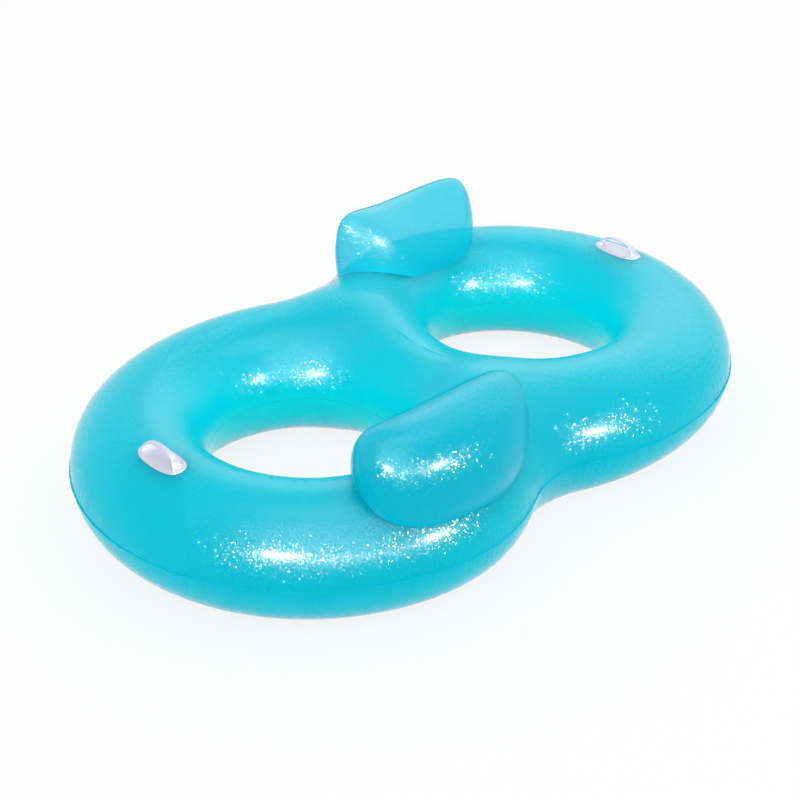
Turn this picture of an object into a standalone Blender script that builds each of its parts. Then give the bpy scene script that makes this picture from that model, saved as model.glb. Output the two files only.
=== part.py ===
"""Double swim ring: two vinyl sheets welded into a figure of eight with two seat holes.

Metres, +Z up. X runs along both rings, the floor is Z = 0, and the origin is the middle of
the footprint. The ring is the same after half a turn about Z, except for its two valves.
"""

import math

import bmesh
import bpy
import numpy as np
from mathutils import Matrix, Vector

# Vinyl and clearances
SKIN = 0.0003            # thickness of the sheet
GAP = 0.0003             # clearance between touching pieces
FLANGE = 0.004           # width of the flat weld beside each seam

# Ring outline, seen from above
RING_LENGTH = 1.880
RING_WIDTH = 1.166
WAIST_RADIUS = 0.2482222222   # of the hollow between the two rings' round ends
HOLE_CENTRE = 0.381      # from the middle of the ring to the middle of a seat hole
HOLE_RADIUS_X = 0.232
HOLE_RADIUS_Y = 0.250
SWAY_RATIO = 0.108       # how far the waist leans over, over Y
SWAY_REACH = 0.350       # how far along X the lean dies away

# Inflated section
INFLATION_RATIO = 0.935  # height of a tube over its width between seams
VALLEY_SHARPNESS = 4.0   # how tightly the tubes run into each other at the waist
FLAT_DEPTH = 0.0025      # how much of the tube's underside is pressed flat by the floor

# Facets of the ring
RING_RAYS = 34           # round a seat hole, on the side that ends at the outer seam
MIDDLE_RAYS = 14         # round a seat hole, on the side that meets the other ring
MIDDLE_POWER = 7         # how late those rays bend down towards the waist
SECTION_STEPS = 9        # from the inner seam over the tube to the outer seam

# Backrest: a pillow of two panels that sits astride the tube
REST_SHIFT = 0.01651292  # how far its middle stands from the seat hole's, towards the waist
REST_OUTSET = 0.01443466 # how far its middle stands outside the tube's crown
REST_SINK = 0.006505     # how far its middle lies below the tube's crown
REST_FACING = math.radians(-90.5)  # the way its back faces, seen from above
REST_BEND = 0.624        # radius of its curve, seen from above
REST_HALF_LENGTH = 0.236
REST_HALF_HEIGHT = 0.146
REST_HALF_DEPTH = 0.131
REST_CORNER_POWER = 6.0  # squareness of its outline, 2 is an ellipse
REST_END_POWER = 2.36    # squareness of its plan
REST_LEAN_RATIO = 0.054  # how far it leans out, over its height
REST_DRAW_RATIO = 0.12   # how much shorter it gets below REST_DRAW_START
REST_DRAW_START = 0.5    # share of its half height above its middle
REST_AROUND = 32
REST_ACROSS = 5

# Handle: one moulding, an oval foot with a grip arched over it
HANDLE_ANGLE = math.radians(176.5)
HANDLE_OUTSET = 0.0035   # how far it sits outside the tube's crown
HANDLE_HALF_LENGTH = 0.074
HANDLE_HALF_WIDTH = 0.0325
HANDLE_CORNER_POWER = 2.5
HANDLE_FOOT = 0.0022     # thickness of the foot
HANDLE_RIM = 0.0018      # width of its rounded rim
HANDLE_CUT = 0.0088      # how far the uncut foot reaches down into the tube
HANDLE_AROUND = 32
GRIP_HALF_SPAN = 0.058   # from the middle of the grip to where it enters the foot
GRIP_RISE = 0.028        # height of the grip's centre line over the tube
GRIP_ROOT = 0.003        # how far its ends reach down into the foot
GRIP_HALF_WIDTH = 0.0070
GRIP_HALF_HEIGHT = 0.0028
GRIP_ARCH_POWER = 0.7    # flatness of the arch's top, 1 is an ellipse
GRIP_FLARE_RATIO = 0.6   # how much wider its ends are
GRIP_ROOT_POWER = 4      # how close to its ends it starts to go down into the foot
GRIP_FLARE_POWER = 6     # how close to its ends it starts to widen
GRIP_STATIONS = 16
GRIP_AROUND = 10

# Valve: a flange with a recess, and a stem that pushes in
VALVE_ANGLE = math.radians(75)     # where it sits, round its seat hole
VALVE_ROW = 8            # which row of facets carries it, counted from the hole
FLANGE_RADIUS = 0.0220
FLANGE_THICKNESS = 0.0008
RECESS_RADIUS = 0.0110
RECESS_WALL = 0.0010
RECESS_DEPTH = 0.0180
MOUTH_LIP = 0.0010       # how far the rim of the recess reaches in over the collar
STEM_RADIUS = 0.0062
STEM_BORE = 0.0040
STEM_TAIL = 0.0070       # how far the stem reaches past the floor of the recess
LIP_RADIUS = 0.0082
LIP_THICKNESS = 0.0016
COLLAR_THICKNESS = 0.0015
PLUG_HEAD_RADIUS = 0.0075
PLUG_HEAD_THICKNESS = 0.0014
PLUG_LENGTH = 0.0080
PLUG_TAPER = 0.0006      # how much slimmer its tip is
FLAP_THICKNESS = 0.0005
TETHER_WIDTH = 0.0030
TETHER_THICKNESS = 0.0005
TETHER_BULGE = 0.0010
TETHER_STEPS = 6
VALVE_SIDES = 20

# Worked out from the sizes above
END_RADIUS = RING_WIDTH / 2 - FLANGE
END_CENTRE = RING_LENGTH / 2 - FLANGE - END_RADIUS
WAIST_CENTRE = math.sqrt((END_RADIUS + WAIST_RADIUS) ** 2 - END_CENTRE ** 2)
WAIST_HALF = WAIST_CENTRE - WAIST_RADIUS
TANGENT_ANGLE = math.atan2(WAIST_CENTRE, -END_CENTRE)
END_HOLE_REACH = HOLE_CENTRE + HOLE_RADIUS_X - END_CENTRE
TUBE_HEIGHT = INFLATION_RATIO * (END_RADIUS - END_HOLE_REACH) / 2
PRESSED_HEIGHT = TUBE_HEIGHT - FLAT_DEPTH
SKIN_LIFT = GAP / 2 + SKIN         # from the seam plane to the outer face of a sheet
SEAM_Z = PRESSED_HEIGHT + SKIN_LIFT
SIDE_HEIGHT = INFLATION_RATIO * (END_RADIUS - HOLE_RADIUS_Y) / 2   # at the backrests
REST_REACH = (END_RADIUS + HOLE_RADIUS_Y) / 2 + REST_OUTSET
HANDLE_RADIUS = (END_RADIUS + END_HOLE_REACH) / 2 + HANDLE_OUTSET
TINY = 1e-9
MERGE = 1e-6             # points this close are one point
SLIVER = 0.00015         # edges shorter than this are taken out after a cut

TURQUOISE = (0.0, 0.56, 0.68, 1.0)
LIGHT_TURQUOISE = (0.0, 0.60, 0.75, 1.0)
MILKY = (0.82, 0.82, 0.90, 1.0)


# Scene, materials and small helpers

def clear_scene():
    for old in list(bpy.data.objects):
        bpy.data.objects.remove(old)


def make_collection(name):
    collection = bpy.data.collections.new(name)
    bpy.context.scene.collection.children.link(collection)
    return collection


def make_material(name, colour, roughness):
    material = bpy.data.materials.new(name)
    material.use_nodes = True
    shader = material.node_tree.nodes["Principled BSDF"]
    shader.inputs["Base Color"].default_value = colour
    shader.inputs["Roughness"].default_value = roughness
    shader.inputs["Metallic"].default_value = 0.0
    return material


def add_object(name, verts, faces, collection, material=None):
    mesh = bpy.data.meshes.new(name)
    mesh.from_pydata([tuple(map(float, v)) for v in verts], [], faces)
    mesh.update()
    obj = bpy.data.objects.new(name, mesh)
    collection.objects.link(obj)
    if material is not None:
        mesh.materials.append(material)
    return obj


def hide_cutter(obj):
    obj.hide_render = True
    obj.display_type = 'WIRE'


def merge_points(obj, closed=True):
    """Joins points that meet, and turns a closed surface's faces outwards."""
    work = bmesh.new()
    work.from_mesh(obj.data)
    bmesh.ops.remove_doubles(work, verts=work.verts, dist=MERGE)
    if closed:
        bmesh.ops.recalc_face_normals(work, faces=work.faces)
    work.to_mesh(obj.data)
    work.free()


def split_warped(obj):
    """Splits each quad that isn't flat along its shorter diagonal."""
    work = bmesh.new()
    work.from_mesh(obj.data)
    warped = [f for f in work.faces
              if abs(f.normal.dot(f.verts[0].co - f.calc_center_median())) > MERGE]
    bmesh.ops.triangulate(work, faces=warped, quad_method='SHORT_EDGE')
    work.to_mesh(obj.data)
    work.free()


def add_skin(obj):
    """Thickens an open surface inwards from its outer face."""
    solidify = obj.modifiers.new("skin", 'SOLIDIFY')
    solidify.thickness = SKIN
    solidify.offset = -1
    solidify.use_even_offset = True


def add_boolean(obj, cutter, operation='DIFFERENCE'):
    boolean = obj.modifiers.new(operation.lower(), 'BOOLEAN')
    boolean.operation = operation
    boolean.object = cutter
    boolean.solver = 'EXACT'


def drop_slivers(obj):
    weld = obj.modifiers.new("drop_slivers", 'WELD')
    weld.merge_threshold = SLIVER


def smooth(obj, angle=math.radians(40)):
    obj.data.shade_smooth()
    obj.data.set_sharp_from_angle(angle=angle)


# Plan and height of the ring

def seam_distance(x, y):
    """Distance from a point inside the outline to the outer seam."""
    best = np.full(np.shape(x), np.inf)
    for side in (1, -1):
        across = side * x - END_CENTRE
        on_end = np.abs(np.arctan2(y, across)) <= TANGENT_ANGLE
        best = np.where(on_end, np.minimum(best, END_RADIUS - np.hypot(across, y)), best)
        down = WAIST_CENTRE - side * y
        on_waist = np.abs(x) * WAIST_CENTRE <= down * END_CENTRE + TINY
        best = np.where(on_waist, np.minimum(best, np.hypot(x, down) - WAIST_RADIUS), best)
    return np.maximum(best, 0)


def seam_normal(x, y):
    """Direction out of the outline at a point of the outer seam, on the +X side."""
    if abs(math.atan2(y, x - END_CENTRE)) <= TANGENT_ANGLE:
        return (x - END_CENTRE) / END_RADIUS, y / END_RADIUS
    down = math.copysign(WAIST_CENTRE, y) - y
    return -x / WAIST_RADIUS, down / WAIST_RADIUS


def hole_distance(x, y, side):
    """Distance from a point to the seam of the seat hole on that side, close to it."""
    dx = x - side * HOLE_CENTRE
    reach = np.hypot(dx / HOLE_RADIUS_X, y / HOLE_RADIUS_Y)
    slope = np.hypot(dx / HOLE_RADIUS_X ** 2, y / HOLE_RADIUS_Y ** 2)
    return np.maximum((reach - 1) * reach / np.maximum(slope, TINY), 0)


def tube_height(x, y):
    """Height of the inflated tube above the seam plane, before the sway is applied."""
    outer = seam_distance(x, y)
    near = hole_distance(x, y, 1)
    far = hole_distance(x, y, -1)
    squares = np.stack([outer * near, outer * far, near * far]) + TINY
    squeezed = (squares ** -VALLEY_SHARPNESS).sum(0) ** (-1 / VALLEY_SHARPNESS)
    return INFLATION_RATIO * np.sqrt(np.maximum(squeezed - TINY, 0))


def sway(x, y):
    return x + SWAY_RATIO * y * np.exp(-(x / SWAY_REACH) ** 2)


def unsway(x, y):
    """The point of the straight ring that the sway moves to x."""
    straight = x
    for _ in range(12):
        straight = straight - (sway(straight, y) - x)
    return straight


def circle_exit(angle, centre_x, centre_y, radius, first):
    """How far a ray from the seat hole's middle runs to a circle, at its first or last hit."""
    ray = np.array([math.cos(angle), math.sin(angle)])
    offset = np.array([HOLE_CENTRE - centre_x, -centre_y])
    along = -offset @ ray
    root = along ** 2 - offset @ offset + radius ** 2
    return along + (-1 if first else 1) * math.sqrt(max(root, 0))


def ray_angles():
    """Directions round a seat hole: over the outer seam, then over the middle line."""
    corner = math.atan2(WAIST_HALF, -HOLE_CENTRE)
    ring = [corner * (2 * i / RING_RAYS - 1) for i in range(RING_RAYS + 1)]
    turns = [math.pi / 2 * (1 - 2 * i / MIDDLE_RAYS) for i in range(1, MIDDLE_RAYS)]
    middle = [math.atan2(WAIST_HALF * math.sin(t), -HOLE_CENTRE) for t in turns]
    return ring, middle


def ray_end(angle, to_seam):
    """Length of a ray from the seat hole's middle to the outer seam or the middle line."""
    if not to_seam:
        return -HOLE_CENTRE / math.cos(angle)
    length = circle_exit(angle, END_CENTRE, 0, END_RADIUS, first=False)
    x = HOLE_CENTRE + length * math.cos(angle)
    y = length * math.sin(angle)
    if abs(math.atan2(y, x - END_CENTRE)) <= TANGENT_ANGLE:
        return length
    side = 1 if y > 0 else -1
    return circle_exit(angle, 0, side * WAIST_CENTRE, WAIST_RADIUS, first=True)


def ray_points(angle, to_seam):
    """Points of one ray as (x, y, height), from the hole's weld to its far end."""
    cos, sin = math.cos(angle), math.sin(angle)
    start = 1 / math.hypot(cos / HOLE_RADIUS_X, sin / HOLE_RADIUS_Y)
    end = ray_end(angle, to_seam)
    turn = math.pi
    if not to_seam:
        share = min(abs(end * sin) / WAIST_HALF, 1)
        turn = math.pi / 2 * (1 + share ** MIDDLE_POWER)
    steps = np.linspace(0, 1, SECTION_STEPS + 1)
    share = (1 - np.cos(turn * steps)) / (1 - math.cos(turn))
    radii = start + (end - start) * share
    x = HOLE_CENTRE + radii * cos
    y = radii * sin
    height = tube_height(x, y)
    height[0] = 0
    points = list(zip(x, y, height))
    points.insert(0, (HOLE_CENTRE + (start - FLANGE) * cos, (start - FLANGE) * sin, 0))
    if to_seam:
        normal_x, normal_y = seam_normal(x[-1], y[-1])
        points[-1] = (x[-1], y[-1], 0)
        points.append((x[-1] + FLANGE * normal_x, y[-1] + FLANGE * normal_y, 0))
    return points


def sheet_grid():
    """Points and quads of the whole figure of eight, as (x, y, height) above the seam."""
    ring, middle = ray_angles()
    rays = [ray_points(a, True) for a in ring] + [ray_points(a, False) for a in middle]
    points, starts = [], []
    for ray in rays:
        starts.append(len(points))
        points += ray
    quads = []
    for i in range(len(rays)):
        j = (i + 1) % len(rays)
        for row in range(min(len(rays[i]), len(rays[j])) - 1):
            quads.append((starts[i] + row, starts[i] + row + 1,
                          starts[j] + row + 1, starts[j] + row))
    count = len(points)
    points += [(-x, -y, height) for x, y, height in points]
    quads += [tuple(n + count for n in quad) for quad in quads]
    points = [(sway(x, y), y, height) for x, y, height in points]
    return points, quads


def sheet_point(point, side):
    """Place of a grid point on the outer face of the top (1) or bottom (-1) sheet."""
    x, y, height = point
    if side < 0:
        height = min(height, PRESSED_HEIGHT)
    return (x, y, SEAM_Z + side * (SKIN_LIFT + height))


def make_sheet(name, side, collection, material):
    points, quads = sheet_grid()
    verts = [sheet_point(p, side) for p in points]
    faces = [q if side > 0 else q[::-1] for q in quads]
    sheet = add_object(name, verts, faces, collection, material)
    merge_points(sheet, closed=False)
    split_warped(sheet)
    add_skin(sheet)
    smooth(sheet)
    return sheet


def make_ring_body(collection):
    """The closed outside of the inflated ring, GAP larger all over, to seat pieces on."""
    points, quads = sheet_grid()
    verts, faces = [], []
    for side in (1, -1):
        start = len(verts)
        verts += [sheet_point(p, side) for p in points]
        faces += [tuple(n + start for n in (q if side > 0 else q[::-1])) for q in quads]
    body = add_object("ring_body", verts, faces, collection)
    merge_points(body, closed=False)
    split_warped(body)
    work = bmesh.new()
    work.from_mesh(body.data)
    rims = [e for e in work.edges if e.is_boundary]
    upper = {v for e in rims for v in e.verts if v.co.z > SEAM_Z}
    by_place = {(round(v.co.x, 5), round(v.co.y, 5)): v
                for e in rims for v in e.verts if v.co.z < SEAM_Z}
    below = {v: by_place[(round(v.co.x, 5), round(v.co.y, 5))] for v in upper}
    for edge in rims:
        a, b = edge.verts
        if a in upper:
            work.faces.new((a, b, below[b], below[a]))
    bmesh.ops.recalc_face_normals(work, faces=work.faces)
    work.normal_update()
    moves = [(v, v.normal * GAP * v.calc_shell_factor()) for v in work.verts]
    for vert, move in moves:
        vert.co += move
    work.to_mesh(body.data)
    work.free()
    hide_cutter(body)
    return body


def make_divider(collection, material):
    """The wall inside the waist that parts the two air chambers."""
    _, middle = ray_angles()
    inset = SKIN + 2 * GAP
    top, bottom = [], []
    for angle in middle[1:-1]:
        y = ray_end(angle, False) * math.sin(angle)
        height = float(tube_height(np.array(0.0), np.array(y)))
        x = sway(0.0, y)
        top.append((x, y, SEAM_Z + SKIN_LIFT + height - inset))
        bottom.append((x, y, SEAM_Z - SKIN_LIFT - min(height, PRESSED_HEIGHT) + inset))
    count = len(top)
    faces = [(i, i + 1, count + i + 1, count + i) for i in range(count - 1)]
    divider = add_object("chamber_divider", top + bottom, faces, collection, material)
    solidify = divider.modifiers.new("skin", 'SOLIDIFY')
    solidify.thickness = SKIN
    solidify.offset = 0
    return divider


# Backrests

def rest_point(along, up, out):
    """World place of a pillow point: along its length, up its height, out of its middle."""
    below = max(REST_DRAW_START - up / REST_HALF_HEIGHT, 0)
    along = along * (1 - REST_DRAW_RATIO * below ** 2)
    out = out + REST_LEAN_RATIO * up
    centre = Vector((REST_SHIFT - HOLE_CENTRE, -REST_REACH))
    pivot = centre - REST_BEND * Vector((math.cos(REST_FACING), math.sin(REST_FACING)))
    angle = REST_FACING + along / REST_BEND
    place = pivot + (REST_BEND + out) * Vector((math.cos(angle), math.sin(angle)))
    return (place.x, place.y, SEAM_Z + SKIN_LIFT + SIDE_HEIGHT - REST_SINK + up)


def rest_outline(angle):
    """The pillow's outline as shares of its half length and half height."""
    cos, sin = math.cos(angle), math.sin(angle)
    power = REST_CORNER_POWER
    reach = (abs(cos) ** power + abs(sin) ** power) ** (-1 / power)
    return cos * reach, sin * reach


def rest_depth(along, up):
    """Half depth of the pillow at a place in its outline, given in shares."""
    plan = max(1 - abs(along) ** REST_END_POWER, 0) ** (1 / REST_END_POWER)
    edge = max(1 - abs(along) ** REST_CORNER_POWER, TINY) ** (1 / REST_CORNER_POWER)
    return REST_HALF_DEPTH * plan * math.sqrt(max(1 - (up / edge) ** 2, 0))


def rest_panel_mesh(side):
    """Outer face of one panel: rings of points from the weld to the middle."""
    verts, faces = [], []
    seam = side * SKIN_LIFT
    for i in range(REST_AROUND):
        angle = 2 * math.pi * (i + 0.5) / REST_AROUND
        along, up = rest_outline(angle)
        weld = (abs(along) * REST_HALF_LENGTH + FLANGE) * math.copysign(1, along)
        weld_up = (abs(up) * REST_HALF_HEIGHT + FLANGE) * math.copysign(1, up)
        verts.append(rest_point(weld, weld_up, seam))
        for step in range(REST_ACROSS):
            share = math.sin(math.pi / 2 * (1 - step / REST_ACROSS))
            depth = rest_depth(along * share, up * share) if step else 0
            verts.append(rest_point(along * share * REST_HALF_LENGTH,
                                    up * share * REST_HALF_HEIGHT, seam + side * depth))
    row = REST_ACROSS + 1
    for i in range(REST_AROUND):
        j = (i + 1) % REST_AROUND
        for step in range(row - 1):
            faces.append((i * row + step, i * row + step + 1,
                          j * row + step + 1, j * row + step))
    verts.append(rest_point(0, 0, seam + side * REST_HALF_DEPTH))
    for i in range(REST_AROUND):
        j = (i + 1) % REST_AROUND
        faces.append((i * row + row - 1, len(verts) - 1, j * row + row - 1))
    if side < 0:
        faces = [f[::-1] for f in faces]
    return verts, faces


def make_backrest(name, turn, ring_body, collection, material):
    """Front and back panels, welded along the top and ends, cut to the tube below."""
    for part, side in (("front", -1), ("back", 1)):
        verts, faces = rest_panel_mesh(side)
        panel = add_object(f"{name}_{part}_panel", verts, faces, collection, material)
        panel.rotation_euler.z = turn
        split_warped(panel)
        add_skin(panel)
        add_boolean(panel, ring_body)
        drop_slivers(panel)
        smooth(panel)


# Handles

def handle_place(along, across):
    """Plan place of a handle point: along the tube, and across it, outwards."""
    centre = (-END_CENTRE + HANDLE_RADIUS * math.cos(HANDLE_ANGLE),
              HANDLE_RADIUS * math.sin(HANDLE_ANGLE))
    out = (math.cos(HANDLE_ANGLE), math.sin(HANDLE_ANGLE))
    return (centre[0] + across * out[0] - along * out[1],
            centre[1] + across * out[1] + along * out[0])


def tube_top(x, y):
    """World height of the ring's top face under a plan place."""
    straight = unsway(np.array(x), np.array(y))
    return SEAM_Z + SKIN_LIFT + float(tube_height(straight, np.array(y)))


def oval_point(angle, share):
    cos, sin = math.cos(angle), math.sin(angle)
    power = HANDLE_CORNER_POWER
    reach = share * (abs(cos) ** power + abs(sin) ** power) ** (-1 / power)
    return handle_place(HANDLE_HALF_LENGTH * cos * reach, HANDLE_HALF_WIDTH * sin * reach)


def ring_faces(count, around):
    """Quads that join a stack of rings, each of the same number of points."""
    faces = []
    for ring in range(count - 1):
        for i in range(around):
            j = (i + 1) % around
            faces.append((ring * around + i, ring * around + j,
                          (ring + 1) * around + j, (ring + 1) * around + i))
    return faces


def handle_foot_mesh():
    """Oval foot with a rounded rim; its underside starts inside the tube, to be cut."""
    inner = 1 - HANDLE_RIM / HANDLE_HALF_WIDTH
    rings = [(1, -HANDLE_CUT)]
    for degrees in (20, 55, 90):
        turn = math.radians(degrees)
        rings.append((inner + (1 - inner) * math.cos(turn), HANDLE_FOOT * math.sin(turn)))
    rings.append((inner / 2, HANDLE_FOOT))
    around = HANDLE_AROUND
    verts = []
    for share, lift in rings:
        for i in range(around):
            x, y = oval_point(2 * math.pi * i / around, share)
            verts.append((x, y, tube_top(x, y) + lift))
    faces = ring_faces(len(rings), around)
    faces.append(tuple(range(around))[::-1])
    x, y = handle_place(0, 0)
    verts.append((x, y, tube_top(x, y) + HANDLE_FOOT))
    last = (len(rings) - 1) * around
    faces += [(last + i, last + (i + 1) % around, len(verts) - 1) for i in range(around)]
    return verts, faces


def grip_mesh():
    """The arched grip: an oval section swept over a flat-topped arch, wider at its ends."""
    base = tube_top(*handle_place(0, 0))
    verts = []
    for k in range(GRIP_STATIONS + 1):
        turn = math.pi * k / GRIP_STATIONS
        to_end = abs(math.cos(turn))
        along = -GRIP_HALF_SPAN * math.cos(turn)
        rise = GRIP_RISE * math.sin(turn) ** GRIP_ARCH_POWER
        rise -= GRIP_ROOT * to_end ** GRIP_ROOT_POWER
        ahead = Vector((GRIP_HALF_SPAN * math.sin(turn) + TINY,
                        GRIP_RISE * GRIP_ARCH_POWER * math.cos(turn))).normalized()
        half_width = GRIP_HALF_WIDTH * (1 + GRIP_FLARE_RATIO * to_end ** GRIP_FLARE_POWER)
        for i in range(GRIP_AROUND):
            angle = 2 * math.pi * i / GRIP_AROUND
            lift = GRIP_HALF_HEIGHT * math.sin(angle)
            x, y = handle_place(along - lift * ahead.y, half_width * math.cos(angle))
            verts.append((x, y, base + rise + lift * ahead.x))
    faces = ring_faces(GRIP_STATIONS + 1, GRIP_AROUND)
    faces.append(tuple(range(GRIP_AROUND))[::-1])
    faces.append(tuple(GRIP_STATIONS * GRIP_AROUND + i for i in range(GRIP_AROUND)))
    return verts, faces


def make_handle(name, turn, ring_body, collection, cutters, material):
    verts, faces = handle_foot_mesh()
    handle = add_object(name, verts, faces, collection, material)
    verts, faces = grip_mesh()
    grip = add_object(name + "_grip", verts, faces, cutters)
    merge_points(handle)
    merge_points(grip)
    for obj in (handle, grip):
        obj.rotation_euler.z = turn
    hide_cutter(grip)
    add_boolean(handle, grip, 'UNION')
    add_boolean(handle, ring_body)
    smooth(handle)


# Valves, in their own frame: Z = 0 is the sheet's outer face and +Z points out of the ring

def turned(name, profile, collection, material=None):
    """A closed turned solid from (radius, z) points that run round its section."""
    verts, faces = [], []
    count = len(profile)
    for i in range(VALVE_SIDES):
        angle = 2 * math.pi * i / VALVE_SIDES
        for radius, z in profile:
            verts.append((radius * math.cos(angle), radius * math.sin(angle), z))
    for i in range(VALVE_SIDES):
        j = (i + 1) % VALVE_SIDES
        for k in range(count):
            m = (k + 1) % count
            faces.append((i * count + k, i * count + m, j * count + m, j * count + k))
    obj = add_object(name, verts, faces, collection, material)
    merge_points(obj)
    smooth(obj, math.radians(30))
    return obj


def valve_seat(mirrored):
    """Middle and outward normal of the facet of the bottom sheet that carries a valve."""
    points, quads = sheet_grid()
    ring, _ = ray_angles()
    wanted = -VALVE_ANGLE if mirrored else VALVE_ANGLE
    ray = min(range(RING_RAYS), key=lambda i: abs((ring[i] + ring[i + 1]) / 2 - wanted))
    quad = quads[ray * (SECTION_STEPS + 2) + VALVE_ROW]
    corners = [Vector(sheet_point(points[n], -1)) for n in quad]
    if mirrored:
        corners = [Vector((-c.x, -c.y, c.z)) for c in corners]
    middle = sum(corners, Vector()) / len(corners)
    normal = (corners[2] - corners[0]).cross(corners[3] - corners[1]).normalized()
    if normal.z > 0:
        normal = -normal
    return middle, normal


def make_empty(name, collection, parent=None, location=(0, 0, 0)):
    empty = bpy.data.objects.new(name, None)
    empty.empty_display_size = 0.01
    empty.location = location
    empty.parent = parent
    collection.objects.link(empty)
    return empty


def recess_profile(top):
    outer = RECESS_RADIUS + RECESS_WALL
    mouth = RECESS_RADIUS - MOUTH_LIP
    floor = STEM_RADIUS + GAP
    return [(outer, -RECESS_DEPTH), (outer, top), (mouth, top), (mouth, top - RECESS_WALL),
            (RECESS_RADIUS, top - RECESS_WALL), (RECESS_RADIUS, RECESS_WALL - RECESS_DEPTH),
            (floor, RECESS_WALL - RECESS_DEPTH), (floor, -RECESS_DEPTH)]


def make_flange(name, frame, ring_body, collection, cutters, material):
    top = GAP + FLANGE_THICKNESS
    inner = RECESS_RADIUS + RECESS_WALL / 2
    rim = FLANGE_RADIUS - FLANGE_THICKNESS
    profile = [(inner, -4 * FLANGE_THICKNESS), (FLANGE_RADIUS, -4 * FLANGE_THICKNESS),
               (FLANGE_RADIUS, top - FLANGE_THICKNESS / 2), (rim, top), (inner, top)]
    flange = turned(name, profile, collection, material)
    sleeve = turned(name + "_sleeve", recess_profile(top), cutters)
    hide_cutter(sleeve)
    for obj in (flange, sleeve):
        obj.parent = frame
    add_boolean(flange, ring_body)
    add_boolean(flange, sleeve, 'UNION')
    return flange


def cut_valve_hole(name, frame, sheet, cutters):
    radius = RECESS_RADIUS + RECESS_WALL + GAP
    reach = RECESS_DEPTH / 2
    drill = turned(name, [(0, -reach), (radius, -reach), (radius, reach), (0, reach)], cutters)
    drill.parent = frame
    hide_cutter(drill)
    add_boolean(sheet, drill)


def stem_profile(lip_top):
    collar_bottom = RECESS_WALL - RECESS_DEPTH + GAP
    collar_top = collar_bottom + COLLAR_THICKNESS
    tail = -RECESS_DEPTH - STEM_TAIL
    collar = RECESS_RADIUS - GAP
    return [(STEM_BORE, tail), (STEM_RADIUS, tail), (STEM_RADIUS, collar_bottom),
            (collar, collar_bottom), (collar, collar_top), (STEM_RADIUS, collar_top),
            (STEM_RADIUS, lip_top - LIP_THICKNESS), (LIP_RADIUS, lip_top - LIP_THICKNESS),
            (LIP_RADIUS, lip_top), (STEM_BORE, lip_top)]


def plug_profile(lip_top):
    spigot = STEM_BORE - GAP
    head = lip_top + GAP
    top = head + PLUG_HEAD_THICKNESS
    edge = PLUG_HEAD_THICKNESS / 4
    tip = lip_top - PLUG_LENGTH
    return [(0, tip), (spigot - PLUG_TAPER, tip), (spigot, tip + 2 * PLUG_TAPER),
            (spigot, head), (PLUG_HEAD_RADIUS, head),
            (PLUG_HEAD_RADIUS, top - edge), (PLUG_HEAD_RADIUS - edge, top), (0, top)]


def make_tether(name, frame, lip_top, collection, material):
    """The strap that keeps the plug with the stem, bowed out between their rims."""
    start = (LIP_RADIUS + GAP, lip_top - LIP_THICKNESS / 2)
    end = (PLUG_HEAD_RADIUS + GAP, lip_top + GAP + PLUG_HEAD_THICKNESS / 2)
    verts = []
    for k in range(TETHER_STEPS + 1):
        share = k / TETHER_STEPS
        bow = TETHER_BULGE * math.sin(math.pi * share)
        x = start[0] + (end[0] - start[0]) * share + bow
        z = start[1] + (end[1] - start[1]) * share
        for dx, dy in ((0, -1), (1, -1), (1, 1), (0, 1)):
            verts.append((x + dx * TETHER_THICKNESS, dy * TETHER_WIDTH / 2, z))
    faces = ring_faces(TETHER_STEPS + 1, 4)
    faces.append((3, 2, 1, 0))
    faces.append(tuple(4 * TETHER_STEPS + i for i in range(4)))
    tether = add_object(name, verts, faces, collection, material)
    tether.parent = frame
    return tether


def make_valve(side_name, mirrored, sheet, ring_body, collection, cutters, material):
    middle, normal = valve_seat(mirrored)
    frame = make_empty(f"valve_frame_{side_name}", collection)
    frame.matrix_world = (Matrix.Translation(middle)
                          @ normal.to_track_quat('Z', 'X').to_matrix().to_4x4())
    lip_top = FLANGE_THICKNESS - PLUG_HEAD_THICKNESS
    make_flange(f"valve_flange_{side_name}", frame, ring_body, collection, cutters, material)
    cut_valve_hole(f"valve_hole_{side_name}", frame, sheet, cutters)
    stem = turned(f"valve_stem_{side_name}", stem_profile(lip_top), collection, material)
    stem.parent = frame
    plug = turned(f"valve_plug_{side_name}", plug_profile(lip_top), collection, material)
    plug.parent = frame
    make_tether(f"valve_tether_{side_name}", frame, lip_top, collection, material)
    radius = STEM_RADIUS - GAP
    flap = turned(f"valve_check_flap_{side_name}",
                  [(0, -FLAP_THICKNESS), (radius, -FLAP_THICKNESS), (radius, 0), (0, 0)],
                  collection, material)
    flap.data.transform(Matrix.Translation((-radius, 0, 0)))
    hinge = make_empty(f"flap_hinge_{side_name}", collection, frame,
                       (radius, 0, -RECESS_DEPTH - STEM_TAIL - GAP))
    flap.parent = hinge


def main():
    clear_scene()
    parts = make_collection("double_swim_ring")
    cutters = make_collection("cutters")
    vinyl = make_material("tinted_vinyl", TURQUOISE, 0.22)
    rest_vinyl = make_material("backrest_vinyl", LIGHT_TURQUOISE, 0.20)
    moulded = make_material("milky_pvc", MILKY, 0.30)

    ring_body = make_ring_body(cutters)
    make_sheet("ring_top_sheet", 1, parts, vinyl)
    bottom = make_sheet("ring_bottom_sheet", -1, parts, vinyl)
    make_divider(parts, vinyl)
    for end, turn in (("near", 0), ("far", math.pi)):
        make_backrest(f"backrest_{end}", turn, ring_body, parts, rest_vinyl)
        make_handle(f"handle_{end}", turn, ring_body, parts, cutters, moulded)
    for side_name, mirrored in (("left", True), ("right", False)):
        make_valve(side_name, mirrored, bottom, ring_body, parts, cutters, moulded)
    bpy.context.view_layer.update()


main()
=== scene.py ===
"""Double swim ring in tinted vinyl: fine surfaces, materials, light and camera.

Metres, in the model's own frame: X along both rings, Z up, the floor at Z = 0.
"""
import math
from dataclasses import dataclass

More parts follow.
